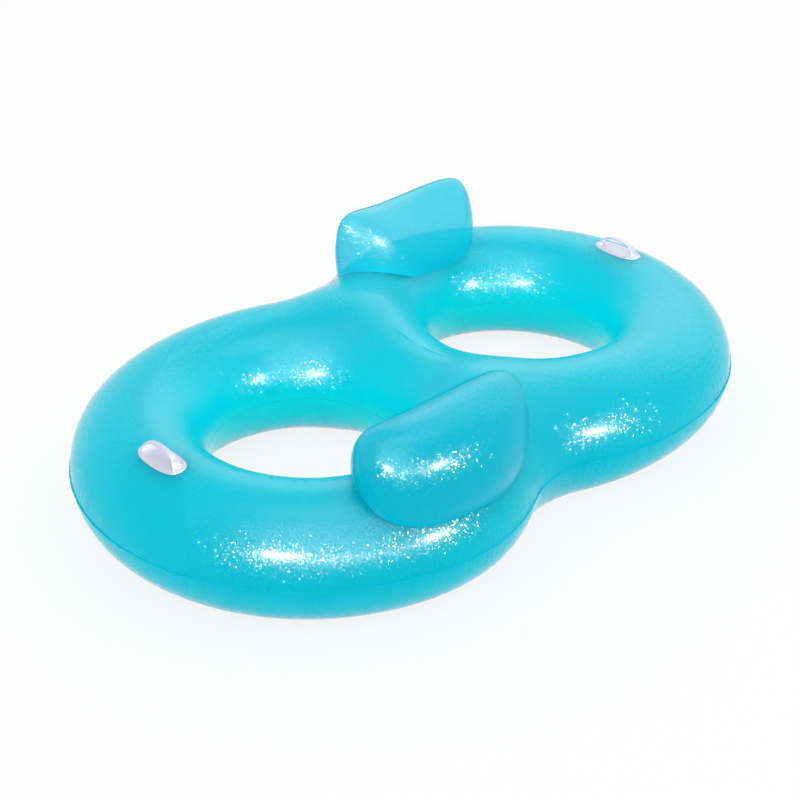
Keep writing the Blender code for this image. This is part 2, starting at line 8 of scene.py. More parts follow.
import bmesh
import bpy
import numpy as np
from mathutils import Matrix, Vector


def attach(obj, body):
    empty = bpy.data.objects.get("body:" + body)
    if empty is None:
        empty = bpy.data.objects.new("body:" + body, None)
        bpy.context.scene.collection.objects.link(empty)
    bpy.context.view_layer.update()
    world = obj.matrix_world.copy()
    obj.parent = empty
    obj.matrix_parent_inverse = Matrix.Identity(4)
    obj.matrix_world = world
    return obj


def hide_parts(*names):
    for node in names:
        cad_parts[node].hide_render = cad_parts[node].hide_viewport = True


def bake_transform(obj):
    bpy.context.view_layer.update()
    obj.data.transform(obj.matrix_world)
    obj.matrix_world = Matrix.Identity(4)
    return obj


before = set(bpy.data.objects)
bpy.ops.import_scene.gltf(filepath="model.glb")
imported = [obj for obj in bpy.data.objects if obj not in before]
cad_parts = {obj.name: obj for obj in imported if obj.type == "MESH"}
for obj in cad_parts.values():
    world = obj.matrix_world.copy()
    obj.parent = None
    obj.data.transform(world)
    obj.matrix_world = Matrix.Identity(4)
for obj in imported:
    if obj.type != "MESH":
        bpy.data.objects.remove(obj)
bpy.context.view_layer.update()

# Vinyl
GAP = 0.0003
FLANGE = 0.004           # width of the flat weld beside each seam
FLANGE_HALF = 0.00045    # half the thickness of that weld

# Ring outline, seen from above
RING_LENGTH = 1.880
RING_WIDTH = 1.166
WAIST_RADIUS = 0.2482222222
HOLE_CENTRE = 0.381
HOLE_RADIUS_X = 0.232
HOLE_RADIUS_Y = 0.250
SWAY_RATIO = 0.108
SWAY_REACH = 0.350
SWAY_ROUNDS = 12         # rounds in which a place's sway is undone

# Inflated section
INFLATION_RATIO = 0.935
VALLEY_SHARPNESS = 4.0
FLAT_DEPTH = 0.0025

# Fineness of the ring's surface
RING_RAYS = 900
MIDDLE_RAYS = 110
SECTION_STEPS = 32
MIDDLE_POWER = 7

# Weld at the seams, which waves, and the gathers beside it
HOLE_WELD = 0.0005       # how far the weld shows in the seat holes
TOOTH_LENGTH = 0.014
TOOTH_RATIO = 0.45       # how much narrower the weld is between its teeth
RUFFLE = 0.0010          # how far the weld waves up and down
CRIMP_SPACING = 0.022
CRIMP_DEPTH = 0.0012
CRIMP_WIDTH = 0.0036
CRIMP_LENGTH = (0.006, 0.022)
GATHER_STRENGTH = (0.1, 1.0)
GATHER_POWER = 1.5       # how rare the deep gathers are
GATHER_SLANT = 0.25
GATHER_STEP = (0.5, 1.6)  # way to the next gather, as a share of the spacing
WAVE_SCALES = (0.8, 1.0, 1.3, 2.1)
CALM = 0.03              # no gathers this close to the ends of a seam
SHARP_ANGLE = math.radians(50)

# Valves: middle of each flange on the vinyl, and the way it faces
VALVES = {
    "left": ((-0.479880, 0.538149, 0.074007), (-0.190667, 0.829490, -0.524970)),
    "right": ((0.497003, 0.538149, 0.074007), (0.217677, 0.822772, -0.525036)),
}
SEAT_RADIUS = 0.026      # the vinyl is flat this far round a valve
SEAT_FADE = 0.060
POCKET_RADIUS = 0.0123
POCKET_DEPTH = 0.042
POCKET_SIDES = 64
VALVE_PARTS = ("flange", "stem", "plug", "check_flap")
TETHER_START = (0.0085, -0.0014)     # out from the valve's axis, and along it
TETHER_END = (0.0078, 0.0004)
TETHER_WIDTH = 0.0030
TETHER_THICKNESS = 0.0005
TETHER_BULGE = 0.0010
TETHER_EDGE_POWER = 4    # how square the strap's edges are

# Backrest pillow
REST_SHIFT = 0.01651292
REST_OUTSET = 0.01443466
REST_SINK = 0.006505
REST_FACING = math.radians(-90.5)
REST_BEND = 0.624
REST_HALF_LENGTH = 0.236
REST_HALF_HEIGHT = 0.146
REST_HALF_DEPTH = 0.131
REST_END_POWER = 2.36
REST_LEAN_RATIO = 0.054
REST_DRAW_RATIO = 0.12
REST_DRAW_START = 0.5
REST_WELD = 0.0020       # width of the weld round a pillow
REST_COLUMNS = 360
REST_ROWS = 40
REST_HALVINGS = 30       # rounds in which a pillow's foot on the tube is found
REST_END_MARGIN = math.radians(1)
REST_HANGING = math.radians(-89)     # from here down a column misses the tube
REST_SAG_LEVEL = 0.3
REST_HOOK_POWER = 3
SOLE_STEPS = 12
REST_CRIMP_SPACING = 0.011
REST_CRIMP_WIDTH = 0.0030
REST_CRIMP_LENGTH = (0.010, 0.034)
REST_CRIMP_LEAST = 0.2   # strength of the gathers in the middle of a pillow
REST_CRIMP_POWER = 12    # how close to the ends they grow to full strength

# Colours
TURQUOISE = (0.0, 0.57, 0.72)
# Paler turquoise painted onto the ring towards the seat holes: painted light, for light that
# comes through the tube
TURQUOISE_PAINTED_LIGHT = (0.0, 0.86, 1.0)
WELD_TURQUOISE = (0.0, 0.56, 0.70)
# The pillows are one vinyl given two colours: the far one painted paler and made more
# see-through, painted light for the light from behind that comes through it
RESTS_PAINTED_LIGHT_TURQUOISE = {"near": (0.0, 0.60, 0.79), "far": (0.0, 0.76, 0.94)}
RESTS_ALPHA = {"near": 0.88, "far": 0.72}
HANDLE_MILKY = (0.66, 0.68, 0.78)
VALVE_MILKY = (0.78, 0.80, 0.84)
FLOOR_WHITE = (0.96, 0.96, 0.96)

# Vinyl: its gloss, how far light of each colour goes in it, how far the painted light beside
# the seat holes reaches, and the glitter in it
VINYL_ROUGHNESS = 0.15
VINYL_IOR = 1.15
COAT_ROUGHNESS = 0.20
COAT_IOR = 1.09
VINYL_DEPTH = (0.05, 0.28, 0.30)
PAINTED_LIGHT_FADE = 0.25         # share of the tube's width over which the painted light, for light that comes through, fades out
GLITTER_CELL = 0.0022
GLITTER_POWER = 0.9      # how rare the strongly tipped facets are
GLITTER_TILT = 0.66
MATT_ROUGHNESS = 0.7
MATT_SPECULAR = 0.02

# Milky PVC
PVC_ROUGHNESS = 0.32
PVC_SUBSURFACE = 0.4
PVC_DEPTH = (0.004, 0.004, 0.005)
CLOUD_SCALE = 45.0
CLOUD_DARK = 0.94
CLOUD_PALE = 1.06
GRAIN_SCALE = 1400.0
GRAIN_DEPTH = 0.0002
GRAIN_STRENGTH = 0.25

# Handle
HANDLE_ANGLE = math.radians(176.5)
HANDLE_OUTSET = 0.0035
HANDLE_HALF_LENGTH = 0.074
HANDLE_HALF_WIDTH = 0.0325
HANDLE_CORNER_POWER = 2.5
HANDLE_FOOT = 0.0022
HANDLE_RIM = 0.0022
HANDLE_RIM_STEPS = 6
HANDLE_SKIRT = ((0.999, -0.0015), (1.0, -0.0006))    # share of the plan, and height
HANDLE_STEP = ((0.90, 0.96), (0.87, 0.78))           # share of the plan, and of the foot
HANDLE_TRAY = 0.74       # height inside the rim, as a share of the foot
HANDLE_TRAY_RINGS = (0.8, 0.6, 0.4, 0.2)
HANDLE_SHARP_ANGLE = math.radians(60)
GRIP_HALF_SPAN = 0.058
GRIP_RISE = 0.030
GRIP_ROOT = 0.003
GRIP_HALF_WIDTH = 0.0070
GRIP_HALF_HEIGHT = 0.0030
GRIP_ARCH_POWER = 0.7
GRIP_FLARE_RATIO = 0.9
GRIP_THICKER_RATIO = 0.5
GRIP_FLARE_POWER = 6     # how close to its ends the grip flares
GRIP_ROOT_POWER = 4
GRIP_EDGE_POWER = 3      # how square the grip's section is
HANDLES = {"near": (0.0, 0.012), "far": (math.pi, 0.0)}     # turn, and shift outwards

# Light: each lamp's azimuth and elevation in degrees, distance, width, height, radiance, and
# whether it lights surfaces or only shows as a sheen on them
LIGHT_TARGET = Vector((-0.1, -0.05, 0.2))
AMBIENT = 0.86
LAMPS = (
    ("softbox_above", -100, 75, 3.2, 2.6, 2.6, 0.6, True),
    ("strip_left", -151, 25, 6.0, 1.30, 0.66, 820, False),
    ("strip_right", -84, 21, 6.0, 1.00, 0.66, 900, False),
    ("panel_front", -138, 42, 3.6, 3.0, 4.6, 12, False),
    ("strip_middle", -118, 20, 6.0, 5.4, 0.36, 150, False),
    ("panel_low", -100, 26, 3.6, 3.4, 1.2, 3, False),
    ("panel_top", -10, 85, 3.2, 1.5, 2.4, 7, False),
    ("panel_back", 15, 36, 3.6, 5.0, 2.4, 2.0, False),
)

# Floor
FLOOR_HALF = 12.0
FLOOR_WHITE_SHARE = 0.84  # how far the floor is plain white to all but diffuse light

# Camera, as the picture was taken, with its azimuth and elevation in degrees like the lamps'
CAMERA_AZIMUTH = -135.9
CAMERA_ELEVATION = 29.94
CAMERA_DISTANCE = 4.0645
CAMERA_TARGET = Vector((-0.0615, 0.0044, 0.1547))
CAMERA_LENS = 72.86
CAMERA_SENSOR = 36.0

# Worked out from the sizes above
END_RADIUS = RING_WIDTH / 2 - FLANGE
END_CENTRE = RING_LENGTH / 2 - FLANGE - END_RADIUS
WAIST_CENTRE = math.sqrt((END_RADIUS + WAIST_RADIUS) ** 2 - END_CENTRE ** 2)
WAIST_HALF = WAIST_CENTRE - WAIST_RADIUS
TANGENT_ANGLE = math.atan2(WAIST_CENTRE, -END_CENTRE)
END_HOLE_REACH = HOLE_CENTRE + HOLE_RADIUS_X - END_CENTRE
TUBE_HEIGHT = INFLATION_RATIO * (END_RADIUS - END_HOLE_REACH) / 2
PRESSED_HEIGHT = TUBE_HEIGHT - FLAT_DEPTH
SEAM_Z = PRESSED_HEIGHT + FLANGE_HALF
SIDE_HEIGHT = INFLATION_RATIO * (END_RADIUS - HOLE_RADIUS_Y) / 2
REST_REACH = (END_RADIUS + HOLE_RADIUS_Y) / 2 + REST_OUTSET
HANDLE_RADIUS = (END_RADIUS + END_HOLE_REACH) / 2 + HANDLE_OUTSET
TINY = 1e-9
MERGE = 1e-6


# Plan and height of the ring

def seam_distance(x, y):
    """Distance from points inside the outline to the outer seam."""
    best = np.full(np.shape(x), np.inf)
    for side in (1, -1):
        across = side * x - END_CENTRE
        on_end = np.abs(np.arctan2(y, across)) <= TANGENT_ANGLE
        best = np.where(on_end, np.minimum(best, END_RADIUS - np.hypot(across, y)), best)
        down = WAIST_CENTRE - side * y
        on_waist = np.abs(x) * WAIST_CENTRE <= down * END_CENTRE + TINY
        best = np.where(on_waist, np.minimum(best, np.hypot(x, down) - WAIST_RADIUS), best)
    return np.maximum(best, 0)


def hole_distance(x, y, side):
    """Distance from points to the seam of the seat hole on that side, close to it."""
    dx = x - side * HOLE_CENTRE
    reach = np.hypot(dx / HOLE_RADIUS_X, y / HOLE_RADIUS_Y)
    slope = np.hypot(dx / HOLE_RADIUS_X ** 2, y / HOLE_RADIUS_Y ** 2)
    return np.maximum((reach - 1) * reach / np.maximum(slope, TINY), 0)


def tube_height(x, y):
    """Height of the inflated tube above the seam, before the sway is applied."""
    outer = seam_distance(x, y)
    near = hole_distance(x, y, 1)
    far = hole_distance(x, y, -1)
    squares = np.stack([outer * near, outer * far, near * far]) + TINY
    squeezed = (squares ** -VALLEY_SHARPNESS).sum(0) ** (-1 / VALLEY_SHARPNESS)
    return INFLATION_RATIO * np.sqrt(np.maximum(squeezed - TINY, 0))


def sway(x, y):
    return x + SWAY_RATIO * y * np.exp(-(x / SWAY_REACH) ** 2)


def crown(x, y):
    """World height of the ring's top face under plan places."""
    x, y = np.asarray(x, float), np.asarray(y, float)
    straight = x
    for _ in range(SWAY_ROUNDS):
        straight = straight - (sway(straight, y) - x)
    return SEAM_Z + FLANGE_HALF + tube_height(straight, y)


def seam_length(angle):
    """Length of a ray from the seat hole's middle to the outer seam."""
    cos, sin = math.cos(angle), math.sin(angle)
    offset = HOLE_CENTRE - END_CENTRE
    along = -offset * cos
    length = along + math.sqrt(along ** 2 - offset ** 2 + END_RADIUS ** 2)
    if abs(math.atan2(length * sin, offset + length * cos)) <= TANGENT_ANGLE:
        return length
    centre = math.copysign(WAIST_CENTRE, sin)
    along = centre * sin - HOLE_CENTRE * cos
    gap = HOLE_CENTRE ** 2 + centre ** 2 - WAIST_RADIUS ** 2
    return along - math.sqrt(max(along ** 2 - gap, 0))


def seam_normal(x, y):
    """Direction out of the outline at points of the outer seam, on the +X side."""
    on_end = np.abs(np.arctan2(y, x - END_CENTRE)) <= TANGENT_ANGLE
    out_x = np.where(on_end, (x - END_CENTRE) / END_RADIUS, -x / WAIST_RADIUS)
    down = np.copysign(WAIST_CENTRE, y) - y
    return out_x, np.where(on_end, y / END_RADIUS, down / WAIST_RADIUS)


# Ring surface

def section(angle, to_seam):
    """Plan points and heights of one section, from its far end to the weld in the seat hole."""
    cos, sin = math.cos(angle), math.sin(angle)
    start = 1 / math.hypot(cos / HOLE_RADIUS_X, sin / HOLE_RADIUS_Y)
    end = seam_length(angle) if to_seam else -HOLE_CENTRE / cos
    turn = math.pi
    if not to_seam:
        turn = math.pi / 2 * (1 + min(abs(end * sin) / WAIST_HALF, 1) ** MIDDLE_POWER)
    share = (1 - np.cos(np.linspace(turn, 0, SECTION_STEPS + 1))) / (1 - math.cos(turn))
    radii = start + (end - start) * share
    height = tube_height(HOLE_CENTRE + radii * cos, radii * sin)
    height[-1] = 0
    if to_seam or abs(end * sin) > WAIST_HALF - MERGE:
        height[0] = 0
    radii = np.append(radii, start - HOLE_WELD)
    return HOLE_CENTRE + radii * cos, radii * sin, np.append(height, 0)


def gathers(places, depth, along, weight, seed, spacing, strongest, width, lengths):
    """How far a surface is pulled in beside a seam, by gathers at uneven distances."""
    rng = np.random.default_rng(seed)
    pulled = np.zeros(depth.shape)
    place = CALM
    while place < along[-1] - CALM:
        share = rng.uniform(*GATHER_STRENGTH) ** GATHER_POWER
        strength = strongest * share * np.interp(place, along, weight)
        length = rng.uniform(*lengths)
        slant = rng.uniform(-GATHER_SLANT, GATHER_SLANT)
        offset = (places - place - slant * depth) / width
        pulled += strength * np.exp(-offset ** 2 - (depth / length) ** 2)
        place += spacing * rng.uniform(*GATHER_STEP)
    return pulled


def waves(along, seed):
    """Uneven waves along a seam, between -1 and 1, that die away at its ends."""
    rng = np.random.default_rng(seed)
    wave = 0
    for scale in WAVE_SCALES:
        start = rng.uniform(0, 6)
        wave = wave + np.sin(2 * math.pi * along / (TOOTH_LENGTH * scale) + start)
    return wave / len(WAVE_SCALES) * np.clip(np.minimum(along, along[-1] - along) / CALM, 0, 1)


def ring_patch(side, seed):
    """World points, gathers and painted light of the sections that end at the outer seam."""
    corner = math.atan2(WAIST_HALF, -HOLE_CENTRE)
    rows = [section(a, True) for a in np.linspace(-corner, corner, RING_RAYS + 1)]
    x, y, height = (np.array([r[k] for r in rows]) for k in range(3))
    along = np.append(0, np.cumsum(np.hypot(np.diff(x[:, 0]), np.diff(y[:, 0]))))
    pulled = gathers(along[:, None], seam_distance(x, y), along, np.ones(along.shape), seed,
                     CRIMP_SPACING, CRIMP_DEPTH, CRIMP_WIDTH, CRIMP_LENGTH)
    out_x, out_y = seam_normal(x[:, 0], y[:, 0])
    weld = FLANGE * (1 - TOOTH_RATIO * (0.5 + 0.5 * waves(along, seed + 1)))
    x = np.column_stack([x[:, 0] + weld * out_x, x])
    y = np.column_stack([y[:, 0] + weld * out_y, y])
    height = np.column_stack([0 * along, height])
    lift = np.zeros(x.shape)
    lift[:, 0] = RUFFLE * waves(along, seed + 2)
    pulled = np.column_stack([pulled[:, 0], pulled])
    return band(side * x, side * y, height, pulled, lift, painted_light_share(x, y))


def middle_patch(side):
    """World points, gathers and painted light of the sections that end at the middle line."""
    turns = np.linspace(math.pi / 2, -math.pi / 2, MIDDLE_RAYS + 1)
    rows = [section(math.atan2(WAIST_HALF * math.sin(t), -HOLE_CENTRE), False) for t in turns]
    x, y, height = (np.array([r[k] for r in rows]) for k in range(3))
    return band(side * x, side * y, height, 0 * x, 0 * x, painted_light_share(x, y))


def painted_light_share(x, y):
    """Share of painted light: 1 beside a seat hole, 0 from the crown of the tube to the outer
    seam.
    """
    near = np.minimum(hole_distance(x, y, 1), hole_distance(x, y, -1))
    share = near / (near + seam_distance(x, y) + TINY)
    return np.clip((0.5 - share) / PAINTED_LIGHT_FADE, 0, 1)


def band(x, y, height, pulled, lift, inner):
    """Points over the top from the far end to the seat hole, then back underneath.

    With each point go its gather and its painted light: how much paler its colour is painted
    there, standing in for light that comes through the tube.
    """
    x = sway(x, y)
    top = np.stack([x, y, SEAM_Z + FLANGE_HALF + height + lift], -1)
    low = SEAM_Z - FLANGE_HALF - np.minimum(height, PRESSED_HEIGHT) + lift
    bottom = np.stack([x, y, low], -1)
    # Painted light: the colour is painted paler towards the seat holes, most where the tube is
    # low and underneath
    painted_light = inner * np.clip(1 - height / TUBE_HEIGHT, 0, 1)
    return (np.concatenate([top, bottom[:, ::-1]], 1),
            np.concatenate([pulled, pulled[:, ::-1]], 1),
            np.concatenate([painted_light, inner[:, ::-1]], 1))


def seat_valves(points):
    """Presses the surface flat where a valve's flange lies on it."""
    for place, axis in VALVES.values():
        offset = points - np.array(place)
        above = offset @ np.array(axis)
        radius = np.linalg.norm(offset - above[:, None] * np.array(axis), axis=1)
        share = np.clip((SEAT_FADE - radius) / (SEAT_FADE - SEAT_RADIUS), 0, 1)
        pressed = np.clip(above, 0, None) * share ** 2 * (3 - 2 * share)
        pressed[above > SEAT_RADIUS] = 0
        points = points - pressed[:, None] * np.array(axis)
    return points


def add_object(name, data):
    obj = bpy.data.objects.new(name, data)
    bpy.context.scene.collection.objects.link(obj)
    return obj


def make_mesh(name, verts, faces, materials, face_material=None, smooth=True):
    """A mesh object with its materials, and each face's own one where they are given."""
    mesh = bpy.data.meshes.new(name)
    mesh.from_pydata([tuple(v) for v in np.asarray(verts, float)], [], faces)
    for material in materials:
        mesh.materials.append(material)
    if face_material is not None:
        mesh.polygons.foreach_set("material_index", face_material)
    if smooth:
        mesh.shade_smooth()
    mesh.update()
    return add_object(name, mesh)


def tidy_mesh(obj, join=True):
    """Joins points that meet, and turns the faces of a closed surface outwards."""
    work = bmesh.new()
    work.from_mesh(obj.data)
    if join:
        bmesh.ops.remove_doubles(work, verts=work.verts, dist=MERGE)
    bmesh.ops.recalc_face_normals(work, faces=work.faces)
    work.to_mesh(obj.data)
    work.free()


def grid_faces(rows, columns, start=0, wrap=True):
    """Quads of a grid of points laid out row by row, each row closed if it wraps."""
    faces = []
    for row in range(start, start + (rows - 1) * columns, columns):
        for k in range(columns if wrap else columns - 1):
            m = (k + 1) % columns
            faces.append((row + k, row + m, row + columns + m, row + columns + k))
    return faces


def tube_faces(rows, columns):
    """Faces of a closed tube: the quads between its rows of points, and its two ends."""
    last = (rows - 1) * columns
    return grid_faces(rows, columns) + [tuple(range(columns))[::-1],
                                        tuple(range(last, last + columns))]


def reach_at(cos, sin, power):
    """How far out a superellipse of half size 1 is, in the direction of a cosine and sine."""
    return (np.abs(cos) ** power + np.abs(sin) ** power) ** (-1 / power)


def height_at(share, power):
    """Height of a superellipse of half size 1 over a place along it."""
    return np.maximum(1 - np.abs(share) ** power, 0) ** (1 / power)


def displace(obj, amount):
    """Moves each point in along its normal by its own amount."""
    mesh = obj.data
    count = len(mesh.vertices)
    places, normals = np.empty(3 * count), np.empty(3 * count)
    mesh.vertices.foreach_get("co", places)
    mesh.vertices.foreach_get("normal", normals)
    places -= normals * np.repeat(amount, 3)
    mesh.vertices.foreach_set("co", places)
    mesh.update()


def valve_frame(side):
    """A valve's own frame: the middle of its flange on the vinyl, and Z the way it faces."""
    place, axis = VALVES[side]
    turn = Vector(axis).to_track_quat('Z', 'X').to_matrix().to_4x4()
    return Matrix.Translation(Vector(place)) @ turn


def cut_pocket(obj, side):
    """Cuts the pocket that a valve's recess sits in."""
    cutter_mesh = bpy.data.meshes.new("pocket")
    work = bmesh.new()
    bmesh.ops.create_cone(work, cap_ends=True, segments=POCKET_SIDES, radius1=POCKET_RADIUS,
                          radius2=POCKET_RADIUS, depth=2 * POCKET_DEPTH)
    work.to_mesh(cutter_mesh)
    work.free()
    cutter = add_object("pocket", cutter_mesh)
    cutter.matrix_world = valve_frame(side)
    boolean = obj.modifiers.new("pocket", 'BOOLEAN')
    boolean.object = cutter
    bpy.context.view_layer.update()
    graph = bpy.context.evaluated_depsgraph_get()
    cut = bpy.data.meshes.new_from_object(obj.evaluated_get(graph))
    obj.modifiers.clear()
    obj.data = cut
    bpy.data.objects.remove(cutter)


def add_layer(obj, name, values):
    """Keeps one number with each point of a mesh."""
    layer = obj.data.attributes.new(name, 'FLOAT', 'POINT')
    layer.data.foreach_set("value", np.concatenate(values))


def take_layer(obj, name):
    """Takes the numbers that were kept with the points of a mesh off it again."""
    layer = obj.data.attributes[name]
    values = np.empty(len(obj.data.vertices))
    layer.data.foreach_get("value", values)
    obj.data.attributes.remove(layer)
    return values


def ring_patches():
    """The ring's four patches, and whether each one's rows close round the outer seam."""
    for side, seed in ((1, 11), (-1, 29)):
        yield ring_patch(side, seed), True
        yield middle_patch(side), False


def weld_slots(count, columns, closed):
    """Material of each face of a patch: 1 on the welds and 0 on the vinyl."""
    welds = {columns // 2 - 2, columns // 2 - 1, columns // 2}
    if closed:
        welds |= {0, columns - 2, columns - 1}
    across = columns if closed else columns - 1
    return [int(k % across in welds) for k in range(count)]


def make_ring(vinyl, weld_vinyl):
    """The whole inflated ring as one closed surface, with its welds and gathers."""
    verts, faces, slots, pulled, painted_light = [], [], [], [], []
    for (points, inward, inner), closed in ring_patches():
        rows, columns = points.shape[:2]
        new = grid_faces(rows, columns, sum(map(len, verts)), closed)
        faces += new
        slots += weld_slots(len(new), columns, closed)
        verts.append(points.reshape(-1, 3))
        pulled.append(inward.reshape(-1))
        painted_light.append(inner.reshape(-1))
    skin = make_mesh("ring_skin", seat_valves(np.concatenate(verts)), faces,
                     [vinyl, weld_vinyl], slots)
    add_layer(skin, "pulled", pulled)
    # Painted light: how far each point's colour is painted paler beside the seat holes
    add_layer(skin, "painted_light", painted_light)
    tidy_mesh(skin)
    skin.data.set_sharp_from_angle(angle=SHARP_ANGLE)
    displace(skin, take_layer(skin, "pulled"))
    for valve in VALVES:
        cut_pocket(skin, valve)
    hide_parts("ring_top_sheet", "ring_bottom_sheet")
    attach(skin, "ring")


# Backrests

@dataclass
class Rest:
    """One pillow: the near one, or the far one half a turn round, with its own small ways."""
    turn: float
    seed: int
    shift: float = REST_SHIFT    # place of its middle along X, from the seat hole's middle
    reach: float = REST_REACH    # and across, from the line along both rings
    facing: float = REST_FACING  # the way its back faces
    lean: float = REST_LEAN_RATIO
    waist_length: float = REST_HALF_LENGTH   # from its middle to the end beside the waist
    outer_length: float = REST_HALF_LENGTH   # and to the other end
    back_depth: float = REST_HALF_DEPTH      # from its middle face to the back
    front_depth: float = REST_HALF_DEPTH     # and to the front
    half_height: float = REST_HALF_HEIGHT
    waist_corner: float = 10.0   # how square the top corner is at each end
    outer_corner: float = 6.0
    waist_plan: tuple = (REST_END_POWER, REST_END_POWER)     # how full each end is: back, front
    outer_plan: tuple = (REST_END_POWER, REST_END_POWER)
    waist_hook: float = 0.0      # how far each end is carried out of the middle face
    outer_hook: float = 0.0
    sag: float = 0.0             # how much lower the top is in the middle
    seam_shift: float = 0.0      # turn of the seam from the top towards the front
    back_fullness: float = 1.0
    front_slope: float = 0.0     # how much less the front bulges towards the top
    crimp: float = 0.0006        # depth of the gathers beside the seam

    def points(self, along, up, out):
        """World places of pillow points: along its length, up its height, out of its middle."""
        along, up, out = np.broadcast_arrays(along, up, out)
        below = np.maximum(REST_DRAW_START - up / REST_HALF_HEIGHT, 0)
        along = along * (1 - REST_DRAW_RATIO * below ** 2)
        out = out + self.lean * up
        pivot_x = self.shift - HOLE_CENTRE - REST_BEND * math.cos(self.facing)
        pivot_y = -self.reach - REST_BEND * math.sin(self.facing)
        angle = self.facing + along / REST_BEND
        x = pivot_x + (REST_BEND + out) * np.cos(angle)
        y = pivot_y + (REST_BEND + out) * np.sin(angle)
        flip = round(math.cos(self.turn))
        z = SEAM_Z + FLANGE_HALF + SIDE_HEIGHT - REST_SINK + up
        return np.stack([flip * x, flip * y, z], -1)

    def columns(self, count):
        """Shares of the half length, from the end at the waist to the outer end."""
        angles = np.linspace(REST_END_MARGIN, math.pi - REST_END_MARGIN, count)
        cos, sin = np.cos(angles), np.sin(angles)
        return cos * reach_at(cos, sin, self.corner(cos))

    def corner(self, share):
        return np.where(share > 0, self.waist_corner, self.outer_corner)

    def plan(self, share, side=0):
        """Thickness at shares of the half length, as a share of the depth, back or front."""
        power = np.where(share > 0, self.waist_plan[side], self.outer_plan[side])
        return height_at(share, power)

    def arc(self, share, turn):
        """World places at shares of the half length and turns from the back over the top."""
        height = height_at(share, self.corner(share))
        height = height * self.half_height * (1 + self.sag * (share ** 2 - REST_SAG_LEVEL))
        depth = np.where(np.cos(turn) > 0, self.back_depth, self.front_depth)
        length = np.where(share > 0, self.waist_length, self.outer_length)
        level = np.cos(turn)
        bulge = np.where(level > 0, np.abs(level) ** (1 / self.back_fullness),
                         level * (1 - self.front_slope * np.sin(turn)))
        plan = np.where(level > 0, self.plan(share, 0), self.plan(share, 1))
        hook = np.where(share > 0, self.waist_hook, self.outer_hook)
        hook = hook * np.abs(share) ** REST_HOOK_POWER
        return self.points(share * length, height * np.sin(turn), depth * plan * bulge + hook)

    def base(self, share, back):
        """Turn at which each column of one side meets the tube, found by halving."""
        low = np.full(share.shape, -math.pi / 2)
        high = np.full(share.shape, math.pi / 2)
        for _ in range(REST_HALVINGS):
            middle = (low + high) / 2
            places = self.arc(share, middle if back else math.pi - middle)
            under = places[:, 2] < crown(places[:, 0], places[:, 1]) + GAP
            low = np.where(under, middle, low)
            high = np.where(under, high, middle)
        return high

    def seam_turn(self, share):
        return math.pi / 2 + self.seam_shift * self.plan(share)


RESTS = {
    "near": Rest(
        turn=0, seed=3, shift=REST_SHIFT + 0.011, outer_length=0.245, waist_length=0.246,
        front_depth=0.138, waist_corner=5.2, outer_plan=(3.5, 2.4), waist_plan=(1.95, 1.95),
        outer_hook=-0.012, back_fullness=1.15, seam_shift=math.radians(34)),
    "far": Rest(
        turn=math.pi, seed=7, shift=0.0104, reach=REST_REACH - 0.005, lean=0.034,
        facing=REST_FACING + 0.010, waist_length=0.226, back_depth=0.100, front_depth=0.122,
        half_height=0.157, waist_corner=5.2, outer_corner=4.6, waist_plan=(1.7, 3.2),
        outer_plan=(2.3, 3.2), waist_hook=0.042, front_slope=0.12, sag=0.29,
        seam_shift=math.radians(-14), crimp=0.0024),
}


def along_seam(points, seam):
    """Distance of surface points from a seam, the nearest place along it, and its lengths."""
    along = np.append(0, np.cumsum(np.linalg.norm(np.diff(seam, axis=0), axis=1)))
    depth, places = np.empty(points.shape[:2]), np.empty(points.shape[:2])
    for k in range(points.shape[1]):
        gap = np.linalg.norm(points[:, k, None] - seam, axis=-1)
        depth[:, k] = gap.min(1)
        places[:, k] = along[gap.argmin(1)]
    return depth, places, along


def weld_edges(rest, share, turn, step):
    """The two outer edges of the weld that stands out along a pillow's seam."""
    seam = rest.arc(share, turn)
    across = rest.arc(share, turn + step) - rest.arc(share, turn - step)
    across /= np.linalg.norm(across, axis=1)[:, None]
    out = np.cross(across, np.gradient(seam, axis=0))
    out /= np.linalg.norm(out, axis=1)[:, None]
    out *= math.copysign(1, out[len(out) // 2, 2])
    return [(seam + REST_WELD * out + side * FLANGE_HALF * across)[:, None] for side in (-1, 1)]


def pillow_side(rest, share, first, last, seed):
    """Points of one side, from its foot on the tube up to the weld, and their gathers."""
    turns = first[:, None] + (last - first)[:, None] * np.linspace(0, 1, REST_ROWS)
    surface = rest.arc(share[:, None], turns)
    fine = rest.columns(4 * REST_COLUMNS)
    depth, places, along = along_seam(surface, rest.arc(fine, rest.seam_turn(fine)))
    weight = REST_CRIMP_LEAST + (1 - REST_CRIMP_LEAST) * np.abs(fine) ** REST_CRIMP_POWER
    return surface, gathers(places, depth, along, weight, seed, REST_CRIMP_SPACING, rest.crimp,
                            REST_CRIMP_WIDTH, REST_CRIMP_LENGTH)


def pillow_sole(back, front, touching):
    """Points from the front's foot to the back's, on the tube where the pillow touches it."""
    steps = np.linspace(0, 1, SOLE_STEPS)[None, 1:-1, None]
    sole = front[:, :1] + (back[:, :1] - front[:, :1]) * steps
    on_tube = crown(sole[..., 0], sole[..., 1]) + GAP
    sole[..., 2] = np.where(touching[:, None], on_tube, sole[..., 2])
    return sole


